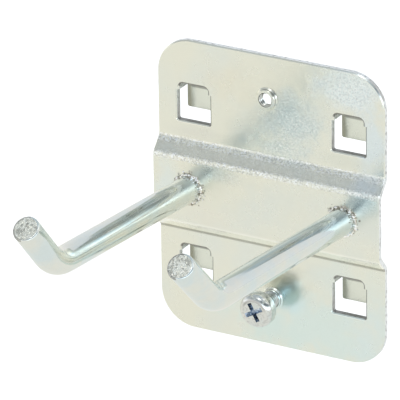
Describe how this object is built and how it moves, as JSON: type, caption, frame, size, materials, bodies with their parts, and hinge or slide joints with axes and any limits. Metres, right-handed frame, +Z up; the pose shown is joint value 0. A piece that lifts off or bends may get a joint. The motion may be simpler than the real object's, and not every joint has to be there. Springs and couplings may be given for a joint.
{
  "type": "pegboard tool holder",
  "caption": "Zinc plated sheet steel holder that hooks into a perforated panel, with bent round rods for hanging tools and a locking screw.",
  "frame": {"origin": "middle of the hook tongues, on the back face of the plate that lies on the panel", "axes": "+Z up, +Y backwards into the panel, +X to the right seen from the front; the rods reach towards -Y"},
  "size_m": [0.0556, 0.0804, 0.0679],
  "materials": {
    "zinc_sheet": "satin",
    "zinc_rod": "bright",
    "zinc_screw": "bright"
  },
  "bodies": {
    "holder": {"back_plate": "zinc_sheet", "left_hook_rod": "zinc_rod", "right_hook_rod": "zinc_rod"},
    "screw": {"locking_screw": "zinc_screw"}
  },
  "joints": [
    {"name": "screw_travel", "type": "slide", "parent": "holder", "child": "screw", "axis": [0, 1, 0], "range_m": [-0.0021, 0.00455]}
  ]
}
